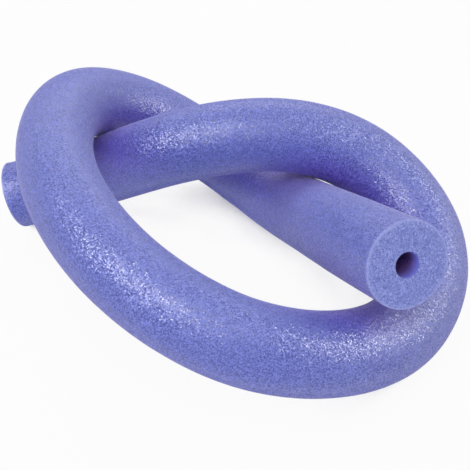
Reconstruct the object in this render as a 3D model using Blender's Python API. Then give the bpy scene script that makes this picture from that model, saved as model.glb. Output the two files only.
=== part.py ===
"""Foam pool noodle, tied in one loose overhand knot and lying on a flat surface.

Metres, +Z up. The origin is on the surface that the noodle lies on, under the middle of its box.
+X runs along the knot's longest reach. The raised front end points to -Y, and the rear end lies low at -X.
The noodle is one piece: an extruded foam tube with a round bore, cut square at both ends.
"""

import math

import bmesh
import bpy
import numpy as np

# The foam tube, as it is extruded and cut
TUBE_DIAMETER = 0.065
BORE_DIAMETER = 0.019
NOODLE_LENGTH = 1.605

# How far the tube's middle line reaches in the knot, along X and along Y
KNOT_LENGTH = 0.377
KNOT_WIDTH = 0.326

# The least gap between strands that cross, and how deep the noodle's weight presses its foam flat
CROSSING_GAP = 0.0004
FLAT_DEPTH = 0.0005

# How finely the tube is divided
RING_SPACING = 0.0155
TUBE_SIDES = 24
BORE_SIDES = 12
STEPS_BETWEEN_PLACES = 30

# The foam's finish
FOAM_COLOUR = (0.205, 0.235, 0.565, 1.0)
FOAM_ROUGHNESS = 0.62
FOAM_METALLIC = 0.0

# The way that the tube's middle line takes, from the raised front end to the rear end. Each place gives its
# X and Y as shares of the knot's length and width, and how high the tube's underside is, as a share of its diameter.
ROUTE_SHARES = (
    (0.389, -0.450, 1.62),  # the front end, over the front of the loop
    (0.307, -0.217, 1.095),
    (0.247, 0.021, 0.476),  # down towards the first crossing, under the back of the loop
    (0.161, 0.248, 0.04),
    (0.012, 0.447, 0.115),  # along the floor at the back
    (-0.180, 0.502, 0.745),
    (-0.327, 0.325, 1.425),  # round and up, over the rear end's strand
    (-0.344, 0.075, 1.54),
    (-0.268, -0.183, 1.424),  # the loop's left side
    (-0.123, -0.390, 1.17),
    (0.075, -0.501, 0.78),  # the loop's front, on its way down
    (0.285, -0.446, 0.29),
    (0.443, -0.270, -0.002),  # on the floor at the front right
    (0.500, -0.025, 0.245),
    (0.375, 0.161, 0.884),  # the loop's right side, on its way up
    (0.150, 0.177, 1.324),  # over the front end's strand
    (-0.080, 0.179, 1.143),
    (-0.289, 0.278, 0.435),  # down and under the loop's left side
    (-0.517, 0.297, -0.025),  # the rear end, with its lower rim on the floor
)

# Heights are raised by this share at a time where a fatter tube's strands would press into each other
RAISE_SHARE = 0.01
MOST_RAISES = 200

# Two places further apart along the tube than this many diameters are on different strands
STRAND_APART_DIAMETERS = 2.2

# Faces that meet at a sharper angle than this keep a hard edge
SHARP_ANGLE = math.radians(40)


def clear_scene():
    for thing in list(bpy.data.objects):
        bpy.data.objects.remove(thing, do_unlink=True)


def route_places(raised):
    """The route's places in metres, with every height stretched by the factor raised."""
    shares = np.array(ROUTE_SHARES)
    along = shares[:, 0] * KNOT_LENGTH
    across = shares[:, 1] * KNOT_WIDTH
    height = shares[:, 2] * raised * TUBE_DIAMETER + TUBE_DIAMETER / 2
    return np.stack([along, across, height], axis=1)


def smooth_line(places):
    """Points on the natural cubic spline through the places, spaced by their distance."""
    spans = np.linalg.norm(np.diff(places, axis=0), axis=1)
    count = len(places)
    rule = np.eye(count)
    wanted = np.zeros((count, 3))
    for i in range(1, count - 1):
        rule[i, i - 1] = spans[i - 1]
        rule[i, i] = 2 * (spans[i - 1] + spans[i])
        rule[i, i + 1] = spans[i]
        slope_after = (places[i + 1] - places[i]) / spans[i]
        slope_before = (places[i] - places[i - 1]) / spans[i - 1]
        wanted[i] = 6 * (slope_after - slope_before)
    bends = np.linalg.solve(rule, wanted)
    points = []
    for i in range(count - 1):
        for step in range(STEPS_BETWEEN_PLACES):
            late = step / STEPS_BETWEEN_PLACES
            early = 1 - late
            pull = (early**3 - early) * bends[i] + (late**3 - late) * bends[i + 1]
            points.append(early * places[i] + late * places[i + 1] + pull * spans[i] ** 2 / 6)
    points.append(places[-1])
    return np.array(points)


def distances_along(points):
    steps = np.linalg.norm(np.diff(points, axis=0), axis=1)
    return np.concatenate([[0], np.cumsum(steps)])


def cut_to_length(points):
    """Evenly spaced points for the noodle's whole length, with the same length over or short at both ends."""
    before = points[0] + (points[0] - points[1]) / np.linalg.norm(points[0] - points[1]) * NOODLE_LENGTH
    after = points[-1] + (points[-1] - points[-2]) / np.linalg.norm(points[-1] - points[-2]) * NOODLE_LENGTH
    longer = np.vstack([before, points, after])
    along = distances_along(longer)
    start = (along[-1] - NOODLE_LENGTH) / 2
    rings = math.ceil(NOODLE_LENGTH / RING_SPACING) + 1
    wanted = np.linspace(start, start + NOODLE_LENGTH, rings)
    return np.stack([np.interp(wanted, along, longer[:, axis]) for axis in range(3)], axis=1)


def directions(points):
    ahead = np.gradient(points, axis=0)
    return ahead / np.linalg.norm(ahead, axis=1, keepdims=True)


def laid_on_floor(points):
    """The same points, with none so low that the tube's underside is pressed in by more than FLAT_DEPTH."""
    upright = np.sqrt(1 - directions(points)[:, 2] ** 2)
    lowest = upright * TUBE_DIAMETER / 2
    laid = points.copy()
    laid[:, 2] = np.maximum(points[:, 2], lowest) - FLAT_DEPTH
    return laid


def least_gap(points):
    """The least clear distance between two strands of the tube."""
    along = distances_along(points)
    apart = np.abs(along[:, None] - along[None]) > STRAND_APART_DIAMETERS * TUBE_DIAMETER
    reach = np.linalg.norm(points[:, None] - points[None], axis=2)
    return reach[apart].min() - TUBE_DIAMETER


def middle_line():
    """The tube's middle line, raised just enough that its strands lie on each other without pressing in."""
    for tries in range(MOST_RAISES):
        line = laid_on_floor(cut_to_length(smooth_line(route_places(1 + tries * RAISE_SHARE))))
        if least_gap(line) >= CROSSING_GAP:
            break
    return line


def add_ring(mesh, centre, ahead, radius, sides):
    """A ring of corners square to the line, with its first corner straight down."""
    across = np.cross(ahead, (0, 0, 1))
    across /= np.linalg.norm(across)
    down = np.cross(ahead, across)
    ring = []
    for step in range(sides):
        angle = math.tau * step / sides
        ring.append(mesh.verts.new(centre + radius * (math.cos(angle) * down + math.sin(angle) * across)))
    return ring


def add_wall(mesh, rings, outward):
    """Four-sided faces from each ring to the next one, facing away from the line or towards it."""
    for ring, following in zip(rings, rings[1:]):
        for step in range(len(ring)):
            turn = (step + 1) % len(ring)
            corners = [ring[step], following[step], following[turn], ring[turn]]
            mesh.faces.new(corners if outward else corners[::-1])


def add_cut_face(mesh, tube_ring, bore_ring, at_start):
    """The flat face between the bore's mouth and the tube's rim, in one panel for each side of the bore."""
    rim_steps = TUBE_SIDES // BORE_SIDES
    for step in range(BORE_SIDES):
        turn = (step + 1) % BORE_SIDES
        rim = [tube_ring[(step * rim_steps + i) % TUBE_SIDES] for i in range(rim_steps + 1)]
        corners = rim + [bore_ring[turn], bore_ring[step]]
        mesh.faces.new(corners if at_start else corners[::-1])


def press_flat(mesh):
    """Cuts off what is under the floor and closes the cuts, as the foam lies flat there."""
    everything = mesh.verts[:] + mesh.edges[:] + mesh.faces[:]
    bmesh.ops.bisect_plane(mesh, geom=everything, plane_co=(0, 0, 0), plane_no=(0, 0, -1), clear_outer=True)
    open_edges = [edge for edge in mesh.edges if edge.is_boundary]
    bmesh.ops.holes_fill(mesh, edges=open_edges, sides=0)


def centre_over_origin(mesh):
    """Moves the noodle so that the middle of its box is over the origin."""
    spots = np.array([vert.co for vert in mesh.verts])
    middle = (spots.min(axis=0) + spots.max(axis=0)) / 2
    bmesh.ops.translate(mesh, verts=mesh.verts, vec=(-middle[0], -middle[1], 0))


def foam_material():
    material = bpy.data.materials.new("noodle_foam")
    material.use_nodes = True
    shader = material.node_tree.nodes["Principled BSDF"]
    shader.inputs["Base Color"].default_value = FOAM_COLOUR
    shader.inputs["Roughness"].default_value = FOAM_ROUGHNESS
    shader.inputs["Metallic"].default_value = FOAM_METALLIC
    return material


def build_foam_tube():
    line = middle_line()
    ahead = directions(line)
    mesh = bmesh.new()
    tube_rings = []
    bore_rings = []
    for centre, direction in zip(line, ahead):
        tube_rings.append(add_ring(mesh, centre, direction, TUBE_DIAMETER / 2, TUBE_SIDES))
        bore_rings.append(add_ring(mesh, centre, direction, BORE_DIAMETER / 2, BORE_SIDES))
    add_wall(mesh, tube_rings, outward=True)
    add_wall(mesh, bore_rings, outward=False)
    add_cut_face(mesh, tube_rings[0], bore_rings[0], at_start=True)
    add_cut_face(mesh, tube_rings[-1], bore_rings[-1], at_start=False)
    press_flat(mesh)
    centre_over_origin(mesh)
    data = bpy.data.meshes.new("foam_tube")
    mesh.to_mesh(data)
    mesh.free()
    data.shade_smooth()
    data.set_sharp_from_angle(angle=SHARP_ANGLE)
    data.materials.append(foam_material())
    tube = bpy.data.objects.new("foam_tube", data)
    bpy.context.collection.objects.link(tube)
    print(f"least gap between strands: {least_gap(line) * 1000:.2f} mm, length {distances_along(line)[-1]:.4f} m")
    return tube


clear_scene()
build_foam_tube()
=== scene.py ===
"""Looks of the foam pool noodle that is tied in a loose overhand knot.

Metres, +Z up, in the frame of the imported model. The noodle's one CAD solid is replaced by a finer mesh on the
same route, with a skin, two cut faces and a bore wall, in three foam materials.
"""

import math

import bpy
import numpy as np
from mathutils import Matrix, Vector, noise


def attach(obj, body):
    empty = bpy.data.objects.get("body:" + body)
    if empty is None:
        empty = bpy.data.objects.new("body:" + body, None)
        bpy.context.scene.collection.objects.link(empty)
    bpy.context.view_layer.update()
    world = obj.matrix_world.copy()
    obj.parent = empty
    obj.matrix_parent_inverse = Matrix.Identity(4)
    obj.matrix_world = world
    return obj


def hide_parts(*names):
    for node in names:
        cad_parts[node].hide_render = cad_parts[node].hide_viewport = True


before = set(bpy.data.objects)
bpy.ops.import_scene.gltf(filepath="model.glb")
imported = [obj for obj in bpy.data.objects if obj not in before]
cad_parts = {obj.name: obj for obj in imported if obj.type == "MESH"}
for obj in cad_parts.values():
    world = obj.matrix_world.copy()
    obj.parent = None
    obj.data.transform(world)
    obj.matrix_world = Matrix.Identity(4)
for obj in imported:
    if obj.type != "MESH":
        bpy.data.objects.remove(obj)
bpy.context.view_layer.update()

# The foam tube and its knot, as in the part's source
TUBE_DIAMETER = 0.065
BORE_DIAMETER = 0.019
NOODLE_LENGTH = 1.605
KNOT_LENGTH = 0.377
KNOT_WIDTH = 0.326
CROSSING_GAP = 0.0004
FLAT_DEPTH = 0.0005
CAD_SPACING = 0.0155
CAD_SIDES = 24
STEPS_BETWEEN_PLACES = 30
RAISE_SHARE = 0.01
MOST_RAISES = 200
STRAND_APART_DIAMETERS = 2.2

# The way of the tube's middle line from the raised front end to the rear end: X and Y as shares of the knot's
# length and width, and the height of the tube's underside as a share of its diameter
ROUTE_SHARES = (
    (0.389, -0.450, 1.62),  # the front end, over the front of the loop
    (0.307, -0.217, 1.095),
    (0.247, 0.021, 0.476),  # down towards the first crossing, under the back of the loop
    (0.161, 0.248, 0.04),
    (0.012, 0.447, 0.115),  # along the floor at the back
    (-0.180, 0.502, 0.745),
    (-0.327, 0.325, 1.425),  # round and up, over the rear end's strand
    (-0.344, 0.075, 1.54),
    (-0.268, -0.183, 1.424),  # the loop's left side
    (-0.123, -0.390, 1.17),
    (0.075, -0.501, 0.78),  # the loop's front, on its way down
    (0.285, -0.446, 0.29),
    (0.443, -0.270, -0.002),  # on the floor at the front right
    (0.500, -0.025, 0.245),
    (0.375, 0.161, 0.884),  # the loop's right side, on its way up
    (0.150, 0.177, 1.324),  # over the front end's strand
    (-0.080, 0.179, 1.143),
    (-0.289, 0.278, 0.435),  # down and under the loop's left side
    (-0.517, 0.297, -0.025),  # the rear end, with its lower rim on the floor
)

# The fine mesh: rings along the skin and down the bore, more of them at the bore's mouths, sides round them,
# and rings across a cut face and round its edges
SKIN_RINGS = 640
BORE_RINGS = 150
MOUTH_RINGS = 9
SIDES = 108
FACE_RINGS = 12
EDGE_RINGS = 4
RIM_ROUNDING = 0.0007
MOUTH_ROUNDING = 0.0008

# How far the foam's surface swells and dips in broad waves, in ripples and across a cut face, how wide these
# are, and a number for each that makes its pattern its own
WAVE_DEPTH = 0.00030
WAVE_WIDTH = 0.030
WAVE_SEED = 3.7
RIPPLE_DEPTH = 0.00004
RIPPLE_WIDTH = 0.007
RIPPLE_SEED = 9.1
CUT_DEPTH = 0.00025
CUT_WIDTH = 0.006
CUT_SEED = 5.3

# How far the painted highlight along the rim of a cut face and the painted light at the bore's mouth reach
RIM_HIGHLIGHT_BAND = 0.0026
MOUTH_LIGHT_BAND = 0.0140

# The noodle's material slots
SKIN_SLOT = 0
CUT_SLOT = 1
BORE_SLOT = 2

# The whole span of a share, and the span that most of a noise's values lie in
FULL_SPAN = (0.0, 1.0)
NOISE_SPAN = (0.3, 0.7)

# The skin's colours, cell by cell from deep to pale: in the open, and with painted shade, darker and more
# purple, where strands shade each other
SKIN_DEEP = (0.066, 0.086, 0.385, 1.0)
SKIN_PALE = (0.222, 0.266, 0.770, 1.0)
SKIN_DEEP_PAINTED_SHADE = (0.086, 0.063, 0.375, 1.0)
SKIN_PALE_PAINTED_SHADE = (0.222, 0.166, 0.705, 1.0)
SKIN_CELL = 0.0008
SKIN_SPECK_SPAN = (0.1, 0.9)
PAINTED_SHADE_REACH = 0.08
PAINTED_SHADE_SPAN = (0.30, 0.92)

# The skin's surface: its fine unevenness, how far each cell leans, its gloss and its sheen
SKIN_GRAIN = 0.0012
SKIN_GRAIN_DEPTH = 0.0002
SKIN_TILT = 0.52
SKIN_ROUGHNESS = (0.34, 0.25)
GRAZING_SPAN = (0.45, 0.70)
GRAZING_ROUGHNESS = (0.2, 0.7)
SKIN_IOR = 1.45
SHEEN_SHARE = 0.38
SHEEN_ROUGHNESS = 0.38
SHEEN_TINT = (0.80, 0.74, 1.0, 1.0)

# A pale painted highlight along the rim of a cut face, and how much of it shows on the skin and on a cut face
RIM_PAINTED_HIGHLIGHT = (0.400, 0.440, 0.860, 1.0)
SKIN_RIM_HIGHLIGHT_SHARE = 0.5
CUT_RIM_HIGHLIGHT_SHARE = 0.7

# The cut faces: mottled cell by cell, with streaks from the blade and pits at the middle of wider cells
CUT_DEEP = (0.129, 0.163, 0.540, 1.0)
CUT_PALE = (0.371, 0.436, 0.890, 1.0)
CUT_PIT = (0.085, 0.102, 0.400, 1.0)
CUT_CELL = 0.0008
STREAK_WIDTH = 0.0014
STREAK_STRETCH = (1.0, 1.0, 0.2)
STREAK_SPAN = (0.40, 0.60)
STREAK_SHARES = (0.40, 0.0)
PIT_SPACING = 0.0024
PIT_SPAN = (0.15, 0.30)
PIT_SHARES = (0.75, 0.0)
PIT_DEPTH = 0.0008
CUT_GRAIN = 0.0018
CUT_GRAIN_DEPTH = 0.0006
CUT_ROUGHNESS = (0.75, 0.9)
CUT_GLOSS = 0.3

# The bore's wall, with painted shade that makes it darker and more purple than the skin, and painted light that
# makes it paler at the mouth
BORE_PAINTED_SHADE_DEEP = (0.150, 0.078, 0.290, 1.0)
BORE_PAINTED_SHADE_PALE = (0.205, 0.110, 0.370, 1.0)
BORE_MOUTH_PAINTED_LIGHT = (0.240, 0.270, 0.950, 1.0)
BORE_GRAIN = 0.0017
BORE_GRAIN_DEPTH = 0.0008
BORE_MOTTLE_SPAN = (0.38, 0.62)
BORE_ROUGHNESS = (0.6, 0.8)
BORE_GLOSS = 0.25

# How many rays tell how open a place is
OPENNESS_SAMPLES = 8

# The photograph's camera
CAMERA_PLACE = (0.0377, -0.6336, 0.5477)
CAMERA_TURN_DEGREES = (51.891, 1.844, 0.817)
FOCAL_MM = 69.84
SENSOR_MM = 36.0

# The floor and the white surroundings. The floor shows white, but for a faint shade and for places that the
# noodle all but closes in.
FLOOR_SIDE = 12.0
FLOOR_COLOUR = (0.92, 0.88, 0.90, 1.0)
FLOOR_ROUGHNESS = 0.9
FLOOR_SHADE_SHARE = 0.07
FLOOR_HOLLOW_REACH = 0.12
FLOOR_HOLLOW_SPAN = (0.05, 0.22)
WHITE = (1.0, 1.0, 1.0, 1.0)
WORLD_LIGHT = 0.49

# Soft lamps: name, degrees to the right of the front, degrees up, distance, width, watts
SOFT_LAMPS = (
    ("key_lamp", -8, 56, 1.7, 1.0, 9.6),
    ("low_front_lamp", -25, 2, 1.6, 1.0, 2.6),
    ("back_left_lamp", -150, 45, 1.6, 0.8, 3.7),
    ("back_right_lamp", 140, 40, 1.6, 0.8, 2.3),
)

# Lamps that show only as a soft gloss along the foam's skin, in the same columns
GLOSS_LAMPS = (
    ("left_gloss", -52, 50, 1.6, 0.42, 27.0),
    ("front_gloss", -25, 52, 1.6, 0.6, 3.0),
    ("top_gloss", 30, 80, 1.6, 0.5, 3.0),
    ("right_gloss", 81, 20, 1.6, 0.28, 21.0),
    ("right_back_gloss", 108, 30, 1.6, 0.22, 9.0),
    ("right_top_gloss", 80, 55, 1.6, 0.5, 3.5),
    ("right_low_gloss", 60, 5, 1.6, 0.4, 1.5),
    ("back_gloss", 172, 34, 1.6, 0.8, 4.5),
)


# The tube's middle line

def route_places(raised):
    """The route's places in metres, with every height stretched by the factor raised."""
    shares = np.array(ROUTE_SHARES)
    along = shares[:, 0] * KNOT_LENGTH
    across = shares[:, 1] * KNOT_WIDTH
    height = shares[:, 2] * raised * TUBE_DIAMETER + TUBE_DIAMETER / 2
    return np.stack([along, across, height], axis=1)


def smooth_line(places):
    """Points on the natural cubic spline through the places, spaced by their distance."""
    spans = np.linalg.norm(np.diff(places, axis=0), axis=1)
    count = len(places)
    rule = np.eye(count)
    wanted = np.zeros((count, 3))
    for i in range(1, count - 1):
        rule[i, i - 1] = spans[i - 1]
        rule[i, i] = 2 * (spans[i - 1] + spans[i])
        rule[i, i + 1] = spans[i]
        slope_after = (places[i + 1] - places[i]) / spans[i]
        slope_before = (places[i] - places[i - 1]) / spans[i - 1]
        wanted[i] = 6 * (slope_after - slope_before)
    bends = np.linalg.solve(rule, wanted)
    points = []
    for i in range(count - 1):
        for step in range(STEPS_BETWEEN_PLACES):
            late = step / STEPS_BETWEEN_PLACES
            early = 1 - late
            pull = (early**3 - early) * bends[i] + (late**3 - late) * bends[i + 1]
            points.append(early * places[i] + late * places[i + 1] + pull * spans[i] ** 2 / 6)
    points.append(places[-1])
    return np.array(points)


def distances_along(points):
    steps = np.linalg.norm(np.diff(points, axis=0), axis=1)
    return np.concatenate([[0], np.cumsum(steps)])


def drawn_out(end, inner):
    """A point straight on past the line's end, the noodle's whole length away from it."""
    return end + (end - inner) / np.linalg.norm(end - inner) * NOODLE_LENGTH


def cut_to_length(points, count):
    """Evenly spaced points for the noodle's whole length, with the same length over or short at both ends."""
    longer = np.vstack([drawn_out(points[0], points[1]), points, drawn_out(points[-1], points[-2])])
    along = distances_along(longer)
    start = (along[-1] - NOODLE_LENGTH) / 2
    wanted = np.linspace(start, start + NOODLE_LENGTH, count)
    return np.stack([np.interp(wanted, along, longer[:, axis]) for axis in range(3)], axis=1)


def directions(points):
    ahead = np.gradient(points, axis=0)
    return ahead / np.linalg.norm(ahead, axis=1, keepdims=True)


def laid_on_floor(points):
    """The same points, with none so low that the tube's underside is pressed in by more than FLAT_DEPTH."""
    upright = np.sqrt(1 - directions(points)[:, 2] ** 2)
    lowest = upright * TUBE_DIAMETER / 2
    laid = points.copy()
    laid[:, 2] = np.maximum(points[:, 2], lowest) - FLAT_DEPTH
    return laid


def least_gap(points):
    """The least clear distance between two strands of the tube."""
    along = distances_along(points)
    apart = np.abs(along[:, None] - along[None]) > STRAND_APART_DIAMETERS * TUBE_DIAMETER
    reach = np.linalg.norm(points[:, None] - points[None], axis=2)
    return reach[apart].min() - TUBE_DIAMETER


def middle_line():
    """The tube's middle line and its directions at SKIN_RINGS points, as in the part's source but finer."""
    cad_rings = math.ceil(NOODLE_LENGTH / CAD_SPACING) + 1
    for tries in range(MOST_RAISES):
        curve = smooth_line(route_places(1 + tries * RAISE_SHARE))
        cad_line = laid_on_floor(cut_to_length(curve, cad_rings))
        if least_gap(cad_line) >= CROSSING_GAP:
            break
    cad_corners = rings_round(cad_line, directions(cad_line), TUBE_DIAMETER / 2, CAD_SIDES).reshape(-1, 3)
    middle = (cad_corners.min(axis=0) + cad_corners.max(axis=0)) / 2
    fine_line = cut_to_length(curve, SKIN_RINGS)
    # The CAD solid stands with its box's middle over the origin, and the fine line goes the same way
    return laid_on_floor(fine_line) - (middle[0], middle[1], 0), directions(fine_line)


# The noodle's mesh

def spokes_round(ahead, sides=SIDES):
    """Directions out from the line and square to it, the first of each ring straight down."""
    across = np.cross(ahead, (0, 0, 1))
    across /= np.linalg.norm(across, axis=1, keepdims=True)
    down = np.cross(ahead, across)
    angle = math.tau * np.arange(sides) / sides
    return np.cos(angle)[None, :, None] * down[:, None] + np.sin(angle)[None, :, None] * across[:, None]


def rings_round(centres, ahead, radii, sides=SIDES):
    """Rings of corners square to the line, of one radius or of a radius each."""
    return centres[:, None] + np.reshape(radii, (-1, 1, 1)) * spokes_round(ahead, sides)


def dips(corners, width, seed):
    """A smooth random value from -0.5 to 0.5 at each corner."""
    shift = Vector((seed, seed, seed))
    flat = corners.reshape(-1, 3) / width
    values = [noise.noise(Vector(place) + shift) / 2 for place in flat]
    return np.clip(np.array(values), -0.5, 0.5).reshape(corners.shape[:-1])


def skin_rings(line, ahead):
    rings = rings_round(line, ahead, TUBE_DIAMETER / 2)
    waves = WAVE_DEPTH * dips(rings, WAVE_WIDTH, WAVE_SEED)
    ripples = RIPPLE_DEPTH * dips(rings, RIPPLE_WIDTH, RIPPLE_SEED)
    return rings - (waves + ripples)[..., None] * spokes_round(ahead)


def rounded_edge(radius, rounding, outer):
    """Radii and distances behind the cut plane for a rounded edge, from the cut face towards the wall."""
    turn = np.linspace(0, math.pi / 2, EDGE_RINGS + 1)
    backs = rounding - rounding * np.cos(turn)
    if outer:
        return radius - rounding + rounding * np.sin(turn), backs
    return radius + rounding - rounding * np.sin(turn), backs


def cut_rings(centre, inward):
    """Rings from the bore's wall, round its mouth and over the cut face to the skin."""
    mouth_radii, mouth_backs = rounded_edge(BORE_DIAMETER / 2, MOUTH_ROUNDING, outer=False)
    rim_radii, rim_backs = rounded_edge(TUBE_DIAMETER / 2, RIM_ROUNDING, outer=True)
    face_radii = np.linspace(mouth_radii[0], rim_radii[0], FACE_RINGS + 2)[1:-1]
    radii = np.concatenate([mouth_radii[::-1], face_radii, rim_radii])
    backs = np.concatenate([mouth_backs[::-1], np.zeros(FACE_RINGS), rim_backs])
    ahead = np.repeat(inward[None], len(radii), axis=0)
    rings = rings_round(centre + backs[:, None] * inward, ahead, radii)
    depth = CUT_DEPTH * dips(rings, CUT_WIDTH, CUT_SEED)
    return rings + depth[..., None] * inward


def bore_picks():
    """Which of the line's points have a ring on the bore's wall, from the rear end to the front."""
    even = np.linspace(0, SKIN_RINGS - 1, BORE_RINGS).round().astype(int)
    mouth = np.arange(MOUTH_RINGS)
    return np.unique(np.concatenate([even, mouth, SKIN_RINGS - 1 - mouth]))[1:-1][::-1]


def face_rim_nearness(rings, centre):
    """For each ring of a cut face, 1 at the rim, fading to 0 over the face."""
    radii = np.linalg.norm(rings - centre, axis=2).mean(axis=1)
    return np.clip(1 - (TUBE_DIAMETER / 2 - radii) / RIM_HIGHLIGHT_BAND, 0, 1)


def skin_rim_nearness(rings):
    """For each ring of the skin, 1 at the rim of a cut face, fading to 0 along the skin."""
    along = np.arange(1, len(rings) + 1) * NOODLE_LENGTH / SKIN_RINGS
    behind = np.minimum(along, along[::-1])
    return np.clip(1 - behind / RIM_HIGHLIGHT_BAND, 0, 1)


def mouth_nearness(picks):
    """For each ring of the bore, 1 at a mouth, fading to 0 down the bore."""
    depth = np.minimum(picks, SKIN_RINGS - 1 - picks) * NOODLE_LENGTH / (SKIN_RINGS - 1)
    return np.clip(1 - depth / MOUTH_LIGHT_BAND, 0, 1)


def strips(count):
    """Four-sided faces from each of this many rings to the next one, and from the last to the first."""
    ring = SIDES * np.arange(count)[:, None]
    following = np.roll(ring, -1, axis=0)
    side = np.arange(SIDES)
    turn = np.roll(side, -1)
    faces = np.stack([ring + side, following + side, following + turn, ring + turn], axis=2)
    return faces.reshape(-1, 4).tolist()


def strip_slots(skin_start, rear_start, bore_start, count):
    """A material slot for each face of the strips. The skin ends halfway round the rounding of a rim."""
    slots = np.full(count, CUT_SLOT)
    slots[skin_start - EDGE_RINGS // 2 - 1:rear_start + EDGE_RINGS // 2] = SKIN_SLOT
    slots[bore_start - 1:] = BORE_SLOT
    return np.repeat(slots, SIDES).tolist()


def add_ring_values(data, name, values):
    """Gives the corners of each ring the ring's own value, which a material reads by this name."""
    attribute = data.attributes.new(name, "FLOAT", "POINT")
    attribute.data.foreach_set("value", np.repeat(values, SIDES))


def build_noodle():
    line, ahead = middle_line()
    front = cut_rings(line[0], ahead[0])
    # The skin starts and ends just behind the rounded edges of the cut faces
    skin = skin_rings(line, ahead)[1:-1]
    # The rear face's rings run the other way round, so they are turned to match the skin's corners
    rear = np.roll(cut_rings(line[-1], -ahead[-1])[:, ::-1], 1, axis=1)[::-1]
    picks = bore_picks()
    bore = rings_round(line[picks], ahead[picks], BORE_DIAMETER / 2)
    rings = np.concatenate([front, skin, rear, bore])
    skin_start, rear_start, bore_start = np.cumsum([len(front), len(skin), len(rear)])
    corners = rings.reshape(-1, 3).copy()
    corners[:, 2] = np.maximum(corners[:, 2], 0)
    data = bpy.data.meshes.new("foam_noodle")
    data.from_pydata(corners.tolist(), [], strips(len(rings)))
    slots = strip_slots(skin_start, rear_start, bore_start, len(rings))
    data.polygons.foreach_set("material_index", slots)
    faces_and_skin = [
        face_rim_nearness(front, line[0]),
        skin_rim_nearness(skin),
        face_rim_nearness(rear, line[-1]),
    ]
    add_ring_values(data, "rim", np.concatenate([*faces_and_skin, np.zeros(len(bore))]))
    add_ring_values(data, "mouth", np.concatenate([np.ones(bore_start), mouth_nearness(picks)]))
    data.update()
    data.shade_smooth()
    piece = bpy.data.objects.new("foam_noodle", data)
    bpy.context.collection.objects.link(piece)
    return piece


# Nodes for the materials

def new_material(name):
    material = bpy.data.materials.new(name)
    material.use_nodes = True
    tree = material.node_tree
    return material, tree, tree.nodes["Principled BSDF"]


def feed(tree, socket, value):
    """Links another node's output to the socket, or sets a fixed value on it."""
    if isinstance(value, bpy.types.NodeSocket):
        tree.links.new(value, socket)
    else:
        socket.default_value = value


def object_place(tree):
    return tree.nodes.new("ShaderNodeTexCoord").outputs["Object"]


def noise_value(tree, place, width, detail=2.0, roughness=0.5):
    """Smooth noise whose features are about this wide."""
    node = tree.nodes.new("ShaderNodeTexNoise")
    node.inputs["Scale"].default_value = 1 / width
    node.inputs["Detail"].default_value = detail
    node.inputs["Roughness"].default_value = roughness
    tree.links.new(place, node.inputs["Vector"])
    return node.outputs["Fac"]


def cells(tree, place, width):
    """Cells about this wide: Distance is how far a cell's middle is, and Color is its three random values."""
    node = tree.nodes.new("ShaderNodeTexVoronoi")
    node.inputs["Scale"].default_value = 1 / width
    tree.links.new(place, node.inputs["Vector"])
    return node.outputs


def ramp(tree, value, span, results):
    """Maps value from one span to the other, held at its ends."""
    node = tree.nodes.new("ShaderNodeMapRange")
    node.inputs["From Min"].default_value, node.inputs["From Max"].default_value = span
    node.inputs["To Min"].default_value, node.inputs["To Max"].default_value = results
    tree.links.new(value, node.inputs["Value"])
    return node.outputs["Result"]


def combined(tree, operation, first, second):
    node = tree.nodes.new("ShaderNodeMath")
    node.operation = operation
    tree.links.new(first, node.inputs[0])
    tree.links.new(second, node.inputs[1])
    return node.outputs["Value"]


def vector_math(tree, operation, first, second=None):
    node = tree.nodes.new("ShaderNodeVectorMath")
    node.operation = operation
    tree.links.new(first, node.inputs[0])
    if second is not None:
        feed(tree, node.inputs[1], second)
    return node.outputs["Vector"]


def blend_colour(tree, share, first, second):
    node = tree.nodes.new("ShaderNodeMix")
    node.data_type = "RGBA"
    tree.links.new(share, node.inputs["Factor"])
    # The sockets for colours share their names with others on this node, so they are picked by number
    feed(tree, node.inputs[6], first)
    feed(tree, node.inputs[7], second)
    return node.outputs[2]


def bump(tree, height, distance, strength=1.0, over=None):
    node = tree.nodes.new("ShaderNodeBump")
    node.inputs["Strength"].default_value = strength
    node.inputs["Distance"].default_value = distance
    tree.links.new(height, node.inputs["Height"])
    if over is not None:
        tree.links.new(over, node.inputs["Normal"])
    return node.outputs["Normal"]


def openness(tree, reach, only_local):
    """How much of a place's surroundings within this reach is open, from 0 to 1."""
    node = tree.nodes.new("ShaderNodeAmbientOcclusion")
    node.samples = OPENNESS_SAMPLES
    node.only_local = only_local
    node.inputs["Distance"].default_value = reach
    return node.outputs["AO"]


def painted_shade_share(tree):
    """Share of painted shade: 1 in the hollows where the foam's strands shade each other, and 0 in the open."""
    return ramp(tree, openness(tree, PAINTED_SHADE_REACH, only_local=True), PAINTED_SHADE_SPAN, (1.0, 0.0))


def share_near(tree, name, most):
    """The mesh's own nearness of this name, from 0 in the open foam to this much at the rim or the mouth."""
    node = tree.nodes.new("ShaderNodeAttribute")
    node.attribute_name = name
    return ramp(tree, node.outputs["Fac"], FULL_SPAN, (0.0, most))


def first_value(tree, draw):
    """The first of a cell's random values."""
    node = tree.nodes.new("ShaderNodeSeparateColor")
    tree.links.new(draw, node.inputs["Color"])
    return node.outputs["Red"]


def tilted(tree, draw, tilt, over):
    """The normal over, leaning at random in each cell by up to about half of tilt, as a slope."""
    centred = vector_math(tree, "SUBTRACT", draw, (0.5, 0.5, 0.5))
    lean = vector_math(tree, "MULTIPLY", centred, (tilt, tilt, tilt))
    return vector_math(tree, "NORMALIZE", vector_math(tree, "ADD", over, lean))


def grazing_roughness(tree):
    """The roughness of the cells' uneven skin seen along the surface, so that its gloss spreads there."""
    node = tree.nodes.new("ShaderNodeLayerWeight")
    return ramp(tree, node.outputs["Facing"], GRAZING_SPAN, GRAZING_ROUGHNESS)


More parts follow.
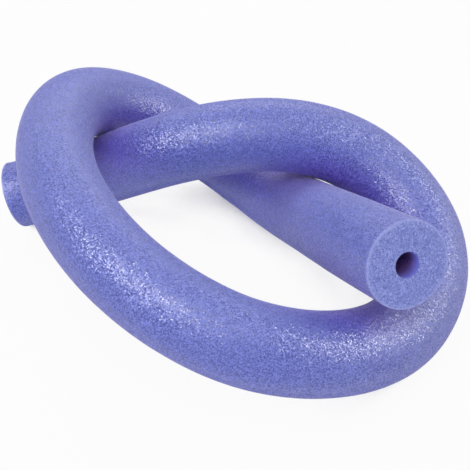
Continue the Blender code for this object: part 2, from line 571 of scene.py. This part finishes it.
def seen_directly(tree):
    """1 for rays from the camera, also mirrored or let through, and 0 for rays that gather soft light."""
    path = tree.nodes.new("ShaderNodeLightPath")
    mirrored = combined(tree, "MAXIMUM", path.outputs["Is Glossy Ray"], path.outputs["Is Transmission Ray"])
    return combined(tree, "MAXIMUM", path.outputs["Is Camera Ray"], mirrored)


# Materials

def skin_material():
    material, tree, shader = new_material("foam_skin")
    place = object_place(tree)
    fine = noise_value(tree, place, SKIN_GRAIN, detail=1.0, roughness=0.6)
    draw = cells(tree, place, SKIN_CELL)["Color"]
    speck = ramp(tree, first_value(tree, draw), SKIN_SPECK_SPAN, FULL_SPAN)
    in_open = blend_colour(tree, speck, SKIN_DEEP, SKIN_PALE)
    in_painted_shade = blend_colour(tree, speck, SKIN_DEEP_PAINTED_SHADE, SKIN_PALE_PAINTED_SHADE)
    # Painted shade: the colours turn darker and more purple where the strands shade each other.
    with_painted_shade = blend_colour(tree, painted_shade_share(tree), in_open, in_painted_shade)
    # Painted highlight: a pale band along the rim of the cut faces.
    with_rim_highlight = blend_colour(tree, share_near(tree, "rim", SKIN_RIM_HIGHLIGHT_SHARE), with_painted_shade, RIM_PAINTED_HIGHLIGHT)
    tree.links.new(with_rim_highlight, shader.inputs["Base Color"])
    roughness = ramp(tree, fine, NOISE_SPAN, SKIN_ROUGHNESS)
    gloss = combined(tree, "MAXIMUM", roughness, grazing_roughness(tree))
    tree.links.new(gloss, shader.inputs["Roughness"])
    shader.inputs["IOR"].default_value = SKIN_IOR
    shader.inputs["Sheen Weight"].default_value = SHEEN_SHARE
    shader.inputs["Sheen Roughness"].default_value = SHEEN_ROUGHNESS
    shader.inputs["Sheen Tint"].default_value = SHEEN_TINT
    grain = tilted(tree, draw, SKIN_TILT, bump(tree, fine, SKIN_GRAIN_DEPTH))
    tree.links.new(grain, shader.inputs["Normal"])
    return material


def cut_material():
    material, tree, shader = new_material("foam_cut")
    place = object_place(tree)
    pits = cells(tree, place, PIT_SPACING)["Distance"]
    fine = noise_value(tree, place, CUT_GRAIN, detail=2.0, roughness=0.6)
    drawn = vector_math(tree, "MULTIPLY", place, STREAK_STRETCH)
    streaks = noise_value(tree, drawn, STREAK_WIDTH, detail=1.0)
    draw = cells(tree, place, CUT_CELL)["Color"]
    mottled = blend_colour(tree, first_value(tree, draw), CUT_DEEP, CUT_PALE)
    streaked = blend_colour(tree, ramp(tree, streaks, STREAK_SPAN, STREAK_SHARES), mottled, CUT_DEEP)
    dotted = blend_colour(tree, ramp(tree, pits, PIT_SPAN, PIT_SHARES), streaked, CUT_PIT)
    # Painted highlight: a pale band along the rim of the cut faces.
    with_rim_highlight = blend_colour(tree, share_near(tree, "rim", CUT_RIM_HIGHLIGHT_SHARE), dotted, RIM_PAINTED_HIGHLIGHT)
    tree.links.new(with_rim_highlight, shader.inputs["Base Color"])
    tree.links.new(ramp(tree, fine, NOISE_SPAN, CUT_ROUGHNESS), shader.inputs["Roughness"])
    shader.inputs["Specular IOR Level"].default_value = CUT_GLOSS
    pitted = bump(tree, pits, PIT_DEPTH, strength=0.6)
    tree.links.new(bump(tree, fine, CUT_GRAIN_DEPTH, over=pitted), shader.inputs["Normal"])
    return material


def bore_material():
    material, tree, shader = new_material("foam_bore")
    fine = noise_value(tree, object_place(tree), BORE_GRAIN)
    mottled = blend_colour(tree, ramp(tree, fine, BORE_MOTTLE_SPAN, FULL_SPAN), BORE_PAINTED_SHADE_DEEP, BORE_PAINTED_SHADE_PALE)
    # Painted light at the bore's mouth, fading into the painted shade down the bore.
    with_mouth_light = blend_colour(tree, share_near(tree, "mouth", 1.0), mottled, BORE_MOUTH_PAINTED_LIGHT)
    tree.links.new(with_mouth_light, shader.inputs["Base Color"])
    tree.links.new(ramp(tree, fine, NOISE_SPAN, BORE_ROUGHNESS), shader.inputs["Roughness"])
    shader.inputs["Specular IOR Level"].default_value = BORE_GLOSS
    tree.links.new(bump(tree, fine, BORE_GRAIN_DEPTH, strength=0.8), shader.inputs["Normal"])
    return material


def floor_material():
    """A pale floor that shows white with a soft shade of the noodle, and lights the noodle from below."""
    material, tree, shader = new_material("pale_floor")
    shader.inputs["Base Color"].default_value = FLOOR_COLOUR
    shader.inputs["Roughness"].default_value = FLOOR_ROUGHNESS
    shader.inputs["Specular IOR Level"].default_value = 0.0
    glow = tree.nodes.new("ShaderNodeEmission")
    glow.inputs["Color"].default_value = WHITE
    in_open = ramp(tree, openness(tree, FLOOR_HOLLOW_REACH, only_local=False), FLOOR_HOLLOW_SPAN, FULL_SPAN)
    glowing = combined(tree, "MULTIPLY", seen_directly(tree), in_open)
    share = ramp(tree, glowing, FULL_SPAN, (0.0, 1 - FLOOR_SHADE_SHARE))
    mix = tree.nodes.new("ShaderNodeMixShader")
    tree.links.new(share, mix.inputs["Fac"])
    tree.links.new(shader.outputs["BSDF"], mix.inputs[1])
    tree.links.new(glow.outputs["Emission"], mix.inputs[2])
    tree.links.new(mix.outputs["Shader"], tree.nodes["Material Output"].inputs["Surface"])
    return material


# Floor, light and camera

def build_floor():
    half = FLOOR_SIDE / 2
    corners = [(-half, -half, 0), (half, -half, 0), (half, half, 0), (-half, half, 0)]
    data = bpy.data.meshes.new("floor")
    data.from_pydata(corners, [], [(0, 1, 2, 3)])
    data.materials.append(floor_material())
    floor = bpy.data.objects.new("floor", data)
    bpy.context.collection.objects.link(floor)


def build_world():
    world = bpy.data.worlds.new("studio")
    bpy.context.scene.world = world
    world.use_nodes = True
    tree = world.node_tree
    background = tree.nodes["Background"]
    background.inputs["Color"].default_value = WHITE
    strength = ramp(tree, seen_directly(tree), FULL_SPAN, (WORLD_LIGHT, 1.0))
    tree.links.new(strength, background.inputs["Strength"])


def build_lamps(rows, gloss_only):
    """Round soft lamps that stand about the noodle and face it."""
    middle = Vector((0, 0, TUBE_DIAMETER))
    for name, turn_degrees, rise_degrees, distance, width, watts in rows:
        lamp = bpy.data.lights.new(name, "AREA")
        lamp.shape = "DISK"
        lamp.size = width
        lamp.energy = watts
        holder = bpy.data.objects.new(name, lamp)
        turn = math.radians(turn_degrees)
        rise = math.radians(rise_degrees)
        way = Vector((math.sin(turn) * math.cos(rise), -math.cos(turn) * math.cos(rise), math.sin(rise)))
        holder.location = middle + distance * way
        holder.rotation_euler = (middle - holder.location).to_track_quat("-Z", "Y").to_euler()
        holder.visible_diffuse = not gloss_only
        bpy.context.collection.objects.link(holder)


def build_camera():
    data = bpy.data.cameras.new("camera")
    data.lens = FOCAL_MM
    data.sensor_width = SENSOR_MM
    camera = bpy.data.objects.new("camera", data)
    camera.location = CAMERA_PLACE
    camera.rotation_euler = [math.radians(angle) for angle in CAMERA_TURN_DEGREES]
    bpy.context.collection.objects.link(camera)
    bpy.context.scene.camera = camera


bpy.context.scene.view_settings.view_transform = "Standard"
build_camera()
build_floor()
build_world()
build_lamps(SOFT_LAMPS, gloss_only=False)
build_lamps(GLOSS_LAMPS, gloss_only=True)
noodle = build_noodle()
noodle.data.materials.append(skin_material())
noodle.data.materials.append(cut_material())
noodle.data.materials.append(bore_material())
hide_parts("foam_tube")
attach(noodle, "root")
